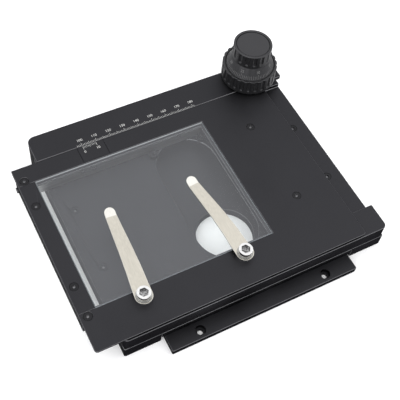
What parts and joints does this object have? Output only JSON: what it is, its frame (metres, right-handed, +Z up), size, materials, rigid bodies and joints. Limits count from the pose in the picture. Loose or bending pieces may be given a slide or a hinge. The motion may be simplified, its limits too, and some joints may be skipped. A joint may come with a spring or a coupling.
{
  "type": "mechanical microscope stage",
  "caption": "Flat two-axis stage: a glass-windowed plate with spring clips slides crosswise on a carriage that slides lengthways over a bolted base, both driven from coaxial knobs at the rear corner.",
  "frame": {"origin": "where the optical axis leaves the underside of the base plate (centre of the light hole)", "axes": "+X right along the engraved scale, +Y to the back, +Z up from the underside to the stage plate"},
  "size_m": [0.1979, 0.1728, 0.055],
  "materials": {
    "black_anodised": "matt",
    "black_satin": "satin",
    "bare_steel": "satin",
    "rail_steel": "satin",
    "bearing_balls": "gloss",
    "black_screws": "satin",
    "bronze": "satin",
    "clear_glass": "clear"
  },
  "bodies": {
    "base": {"base_plate": "black_anodised", "y_fixed_rail_left": "rail_steel", "y_fixed_rail_right": "rail_steel", "y_fixed_rail_screws": "black_screws", "y_stop_screws": "black_screws", "y_rack": "rail_steel", "y_rack_screws": "black_screws"},
    "y_carriage": {"y_stop_pin": "rail_steel", "y_carriage_plate": "black_anodised", "side_bar_left": "black_anodised", "side_bar_right": "black_anodised", "y_moving_rail_left": "rail_steel", "y_moving_rail_right": "rail_steel", "side_bar_screws": "black_screws", "y_moving_rail_screws": "black_screws", "rear_scale_plate": "black_anodised", "scale_plate_screws": "black_screws", "x_outer_rail_front": "rail_steel", "x_outer_rail_rear": "rail_steel", "x_outer_rail_screws": "black_screws", "x_stop_screws": "black_screws", "knob_bush": "bronze", "shaft_bush": "bronze"},
    "x_carriage": {"stage_plate": "black_anodised", "left_strip": "black_anodised", "glass_plate": "clear_glass", "vernier_plate": "black_anodised", "left_end_bar": "black_anodised", "right_cross_bar": "black_anodised", "end_bar_screws": "black_screws", "x_inner_rail_front": "rail_steel", "x_inner_rail_rear": "rail_steel", "x_inner_rail_screws": "black_screws", "stage_plate_screws": "black_screws", "x_rack": "rail_steel", "x_rack_screws": "black_screws", "clip_spacers": "black_satin", "clip_washers": "bare_steel", "clip_screws": "bare_steel"},
    "left_clip": {"clip_left": "bare_steel"},
    "right_clip": {"clip_right": "bare_steel"},
    "y_drive": {"knob_shaft": "bare_steel", "small_knob": "black_satin", "small_knob_set_screw": "black_screws", "knob_cap": "black_satin", "y_pinion": "rail_steel"},
    "x_drive": {"knob_tube": "rail_steel", "large_knob": "black_satin", "large_knob_set_screw": "black_screws", "dial_ring": "black_satin", "x_pinion": "bronze"},
    "front_x_cage": {"x_cage_front": "bronze", "x_balls_front": "bearing_balls"},
    "rear_x_cage": {"x_cage_rear": "bronze", "x_balls_rear": "bearing_balls"},
    "left_y_cage": {"y_cage_left": "bronze", "y_balls_left": "bearing_balls"},
    "right_y_cage": {"y_cage_right": "bronze", "y_balls_right": "bearing_balls"}
  },
  "joints": [
    {"name": "y_slide", "type": "slide", "parent": "base", "child": "y_carriage", "axis": [0, -1, 0], "range_m": [0, 0.054]},
    {"name": "x_slide", "type": "slide", "parent": "y_carriage", "child": "x_carriage", "axis": [1, 0, 0], "range_m": [0, 0.076]},
    {"name": "y_knob", "type": "hinge", "parent": "y_carriage", "child": "y_drive", "pos_m": [0.0688, 0.098, 0.03], "axis": [0, 0, 1], "range_deg": [-485, 1]},
    {"name": "x_knob", "type": "hinge", "parent": "y_carriage", "child": "x_drive", "pos_m": [0.0688, 0.098, 0.03], "axis": [0, 0, 1], "range_deg": [-1, 682]},
    {"name": "clip_left_swing", "type": "hinge", "parent": "x_carriage", "child": "left_clip", "pos_m": [-0.0693, -0.0265, 0.0275], "axis": [0, 0, 1], "range_deg": [-20, 75]},
    {"name": "clip_right_swing", "type": "hinge", "parent": "x_carriage", "child": "right_clip", "pos_m": [-0.0032, -0.0265, 0.0275], "axis": [0, 0, 1], "range_deg": [-75, 20]},
    {"name": "front_x_cage_roll", "type": "slide", "parent": "y_carriage", "child": "front_x_cage", "axis": [1, 0, 0], "range_m": [0, 0.038]},
    {"name": "rear_x_cage_roll", "type": "slide", "parent": "y_carriage", "child": "rear_x_cage", "axis": [1, 0, 0], "range_m": [0, 0.038]},
    {"name": "left_y_cage_roll", "type": "slide", "parent": "base", "child": "left_y_cage", "axis": [0, -1, 0], "range_m": [0, 0.027]},
    {"name": "right_y_cage_roll", "type": "slide", "parent": "base", "child": "right_y_cage", "axis": [0, -1, 0], "range_m": [0, 0.027]}
  ],
  "couplings": [
    {"joint": "y_knob", "follows": "y_slide", "rad_per_m": -156.25},
    {"joint": "x_knob", "follows": "x_slide", "rad_per_m": 156.25},
    {"joint": "front_x_cage_roll", "follows": "x_slide", "ratio": 0.5},
    {"joint": "rear_x_cage_roll", "follows": "x_slide", "ratio": 0.5},
    {"joint": "left_y_cage_roll", "follows": "y_slide", "ratio": 0.5},
    {"joint": "right_y_cage_roll", "follows": "y_slide", "ratio": 0.5}
  ]
}
